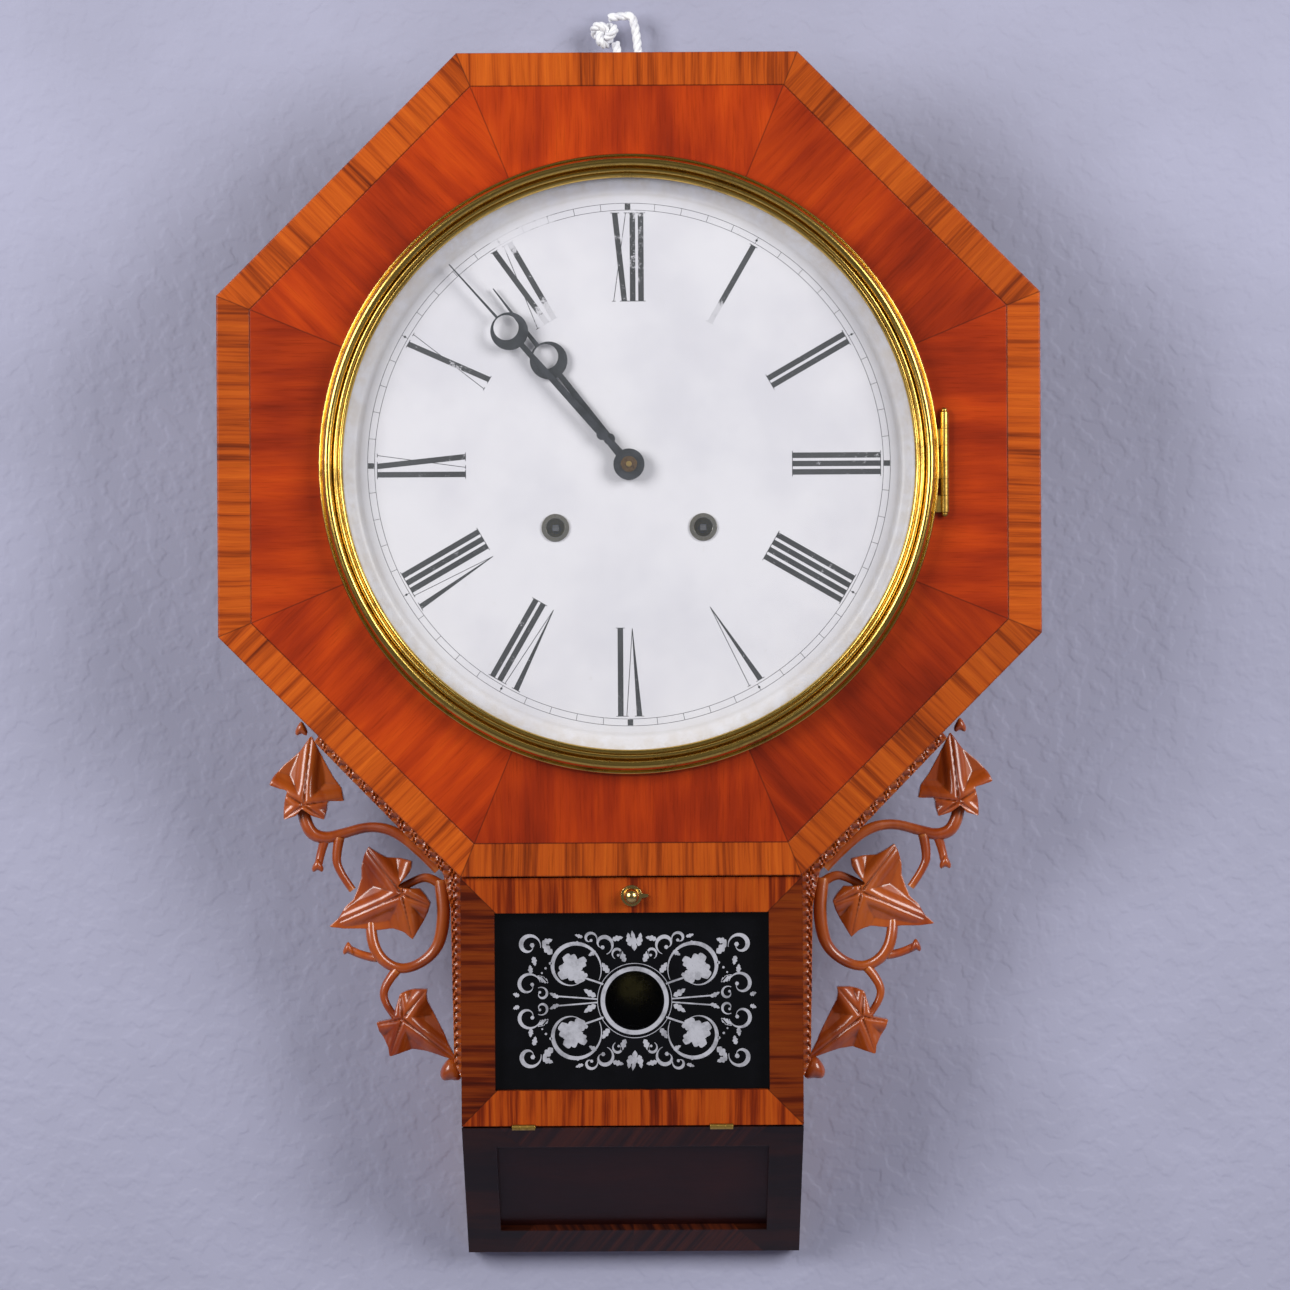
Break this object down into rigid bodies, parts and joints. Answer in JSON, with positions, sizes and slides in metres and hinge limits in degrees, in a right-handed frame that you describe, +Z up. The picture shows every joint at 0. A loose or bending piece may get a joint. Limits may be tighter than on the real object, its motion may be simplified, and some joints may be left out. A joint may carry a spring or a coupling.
{
  "type": "drop dial wall clock",
  "caption": "Octagonal drop dial wall clock with hinged brass bezel, tablet door, carved ivy ears, pendulum and striking movement.",
  "frame": {"origin": "on the wall face of the backboard, behind the centre of the dial", "axes": "+Z up, front towards -Y, +X to the right seen from the front"},
  "size_m": [0.445, 0.1124, 0.6948],
  "materials": {
    "case_wood": "polished mahogany",
    "back_wood": "plain pine",
    "chin_wood": "dark polished veneer",
    "panel_wood": "dark polished mahogany",
    "crossband_wood": "polished crossbanded veneer",
    "field_wood": "polished mahogany veneer",
    "door_wood": "polished mitred veneer",
    "carved_wood": "varnished carving",
    "polished_brass": "polished, a little tarnished",
    "movement_brass": "satin",
    "steel": "satin",
    "nickel": "worn nickel",
    "blued_steel": "blued",
    "dial_paint": "old white paint",
    "clear_glass": "clear",
    "tablet_glass": "black painted glass with a silver ornament",
    "rope": "twisted white cord"
  },
  "bodies": {
    "case": {"backboard": "back_wood", "head_boards": "case_wood", "case_shoulders": "case_wood", "drop_sides": "case_wood", "chin_frame": "chin_wood", "chin_panel": "panel_wood", "octagon_frame": "case_wood", "veneer_crossband": "crossband_wood", "veneer_field": "field_wood", "door_hinge_case_leaves": "polished_brass", "case_hinge_leaf": "polished_brass", "hinge_pins": "polished_brass", "dial": "dial_paint", "dial_screws": "steel", "winding_grommets": "nickel", "right_ivy_carving": "carved_wood", "left_ivy_carving": "carved_wood", "hanging_peg": "steel", "hanging_rope": "rope", "rope_knot": "rope", "back_plate": "movement_brass", "front_plate": "movement_brass", "movement_pillars": "movement_brass", "mainsprings": "blued_steel", "gong": "blued_steel", "suspension_stud": "steel"},
    "bezel": {"bezel": "polished_brass", "bezel_glass": "clear_glass", "glass_ring": "movement_brass", "bezel_hinge_leaf": "polished_brass"},
    "door": {"door_frame": "door_wood", "tablet_glass": "tablet_glass", "tablet_stops": "back_wood", "door_hinge_door_leaves": "polished_brass"},
    "latch": {"latch_knob": "polished_brass"},
    "minute": {"minute_hand": "blued_steel", "cannon_pinion": "steel", "hand_collet": "movement_brass"},
    "hour": {"hour_hand": "blued_steel", "hour_wheel": "movement_brass"},
    "minute_wheel": {"minute_wheel": "movement_brass"},
    "third_wheel": {"third_wheel": "movement_brass"},
    "centre_wheel": {"centre_wheel": "movement_brass"},
    "second_wheel": {"second_wheel": "movement_brass"},
    "escape_wheel": {"escape_wheel": "movement_brass"},
    "time_main_wheel": {"time_main_wheel": "movement_brass"},
    "time_arbor": {"time_winding_arbor": "steel"},
    "time_click": {"time_click": "steel"},
    "verge": {"verge": "steel"},
    "pendulum": {"pendulum_rod": "steel", "pendulum_bob": "movement_brass", "rating_nut": "movement_brass"},
    "strike_second_wheel": {"strike_second_wheel": "movement_brass"},
    "strike_pin_wheel": {"strike_pin_wheel": "movement_brass"},
    "strike_warning_wheel": {"strike_warning_wheel": "movement_brass"},
    "strike_fly": {"strike_fly": "movement_brass"},
    "strike_main_wheel": {"strike_main_wheel": "movement_brass"},
    "strike_arbor": {"strike_winding_arbor": "steel"},
    "strike_click": {"strike_click": "steel"},
    "hammer": {"strike_hammer": "steel"}
  },
  "joints": [
    {"name": "bezel_hinge", "type": "hinge", "parent": "case", "child": "bezel", "pos_m": [0.1702, -0.1026, 0], "axis": [0, 0, 1], "range_deg": [0, 115]},
    {"name": "door_hinge", "type": "hinge", "parent": "case", "child": "door", "pos_m": [0, -0.0989, -0.3579], "axis": [1, 0, 0], "range_deg": [0, 175]},
    {"name": "latch_turn", "type": "hinge", "parent": "door", "child": "latch", "pos_m": [0, -0.097, -0.2331], "axis": [0, -1, 0], "range_deg": [0, 90]},
    {"name": "minute_turn", "type": "hinge", "parent": "case", "child": "minute", "pos_m": [0, -0.1, 0], "axis": [0, -1, 0], "continuous": true},
    {"name": "hour_turn", "type": "hinge", "parent": "case", "child": "hour", "pos_m": [0, -0.09, 0], "axis": [0, -1, 0], "continuous": true},
    {"name": "minute_wheel_turn", "type": "hinge", "parent": "case", "child": "minute_wheel", "pos_m": [0, -0.072, -0.012], "axis": [0, -1, 0], "continuous": true},
    {"name": "third_wheel_turn", "type": "hinge", "parent": "case", "child": "third_wheel", "pos_m": [-0.01112, -0.05, 0.02127], "axis": [0, -1, 0], "continuous": true},
    {"name": "centre_wheel_turn", "type": "hinge", "parent": "case", "child": "centre_wheel", "pos_m": [0, -0.05, 0], "axis": [0, -1, 0], "continuous": true},
    {"name": "second_wheel_turn", "type": "hinge", "parent": "case", "child": "second_wheel", "pos_m": [0.02466, -0.05, -0.009], "axis": [0, -1, 0], "continuous": true},
    {"name": "escape_wheel_turn", "type": "hinge", "parent": "case", "child": "escape_wheel", "pos_m": [0, -0.05, 0.038], "axis": [0, -1, 0], "continuous": true},
    {"name": "time_main_turn", "type": "hinge", "parent": "case", "child": "time_main_wheel", "pos_m": [0.04, -0.05, -0.034], "axis": [0, -1, 0], "continuous": true},
    {"name": "time_winding", "type": "hinge", "parent": "case", "child": "time_arbor", "pos_m": [0.04, -0.05, -0.034], "axis": [0, -1, 0], "continuous": true},
    {"name": "time_click_lift", "type": "hinge", "parent": "time_main_wheel", "child": "time_click", "pos_m": [0.04, -0.0597, -0.017], "axis": [0, -1, 0], "range_deg": [0, 15]},
    {"name": "pendulum_swing", "type": "hinge", "parent": "case", "child": "pendulum", "pos_m": [0, -0.018, 0.06], "axis": [0, -1, 0], "range_deg": [-3.5, 3.5]},
    {"name": "verge_rock", "type": "hinge", "parent": "case", "child": "verge", "pos_m": [0, -0.036, 0.06], "axis": [0, -1, 0], "range_deg": [-3.5, 3.5]},
    {"name": "strike_second_turn", "type": "hinge", "parent": "case", "child": "strike_second_wheel", "pos_m": [-0.044, -0.05, -0.0049], "axis": [0, -1, 0], "continuous": true},
    {"name": "strike_pin_turn", "type": "hinge", "parent": "case", "child": "strike_pin_wheel", "pos_m": [-0.052, -0.05, 0.01387], "axis": [0, -1, 0], "continuous": true},
    {"name": "strike_warning_turn", "type": "hinge", "parent": "case", "child": "strike_warning_wheel", "pos_m": [-0.048, -0.05, 0.02903], "axis": [0, -1, 0], "continuous": true},
    {"name": "strike_fly_turn", "type": "hinge", "parent": "case", "child": "strike_fly", "pos_m": [-0.04, -0.05, 0.03797], "axis": [0, -1, 0], "continuous": true},
    {"name": "strike_main_turn", "type": "hinge", "parent": "case", "child": "strike_main_wheel", "pos_m": [-0.04, -0.05, -0.034], "axis": [0, -1, 0], "continuous": true},
    {"name": "strike_winding", "type": "hinge", "parent": "case", "child": "strike_arbor", "pos_m": [-0.04, -0.05, -0.034], "axis": [0, -1, 0], "continuous": true},
    {"name": "strike_click_lift", "type": "hinge", "parent": "strike_main_wheel", "child": "strike_click", "pos_m": [-0.04, -0.0597, -0.017], "axis": [0, -1, 0], "range_deg": [0, 15]},
    {"name": "hammer_lift", "type": "hinge", "parent": "case", "child": "hammer", "pos_m": [-0.01, -0.04, -0.055], "axis": [0, -1, 0], "range_deg": [0, 8]}
  ],
  "couplings": [
    {"joint": "minute_wheel_turn", "follows": "minute_turn", "ratio": -0.33333},
    {"joint": "hour_turn", "follows": "minute_turn", "ratio": 0.083333},
    {"joint": "third_wheel_turn", "follows": "escape_wheel_turn", "ratio": -0.10606},
    {"joint": "centre_wheel_turn", "follows": "escape_wheel_turn", "ratio": 0.011785},
    {"joint": "second_wheel_turn", "follows": "escape_wheel_turn", "ratio": -0.0019641},
    {"joint": "time_main_turn", "follows": "escape_wheel_turn", "ratio": 0.00025181},
    {"joint": "strike_warning_turn", "follows": "strike_fly_turn", "ratio": -0.14286},
    {"joint": "strike_pin_turn", "follows": "strike_fly_turn", "ratio": 0.02},
    {"joint": "strike_second_turn", "follows": "strike_fly_turn", "ratio": -0.0026667},
    {"joint": "strike_main_turn", "follows": "strike_fly_turn", "ratio": 0.00034188},
    {"joint": "verge_rock", "follows": "pendulum_swing", "ratio": 1}
  ]
}
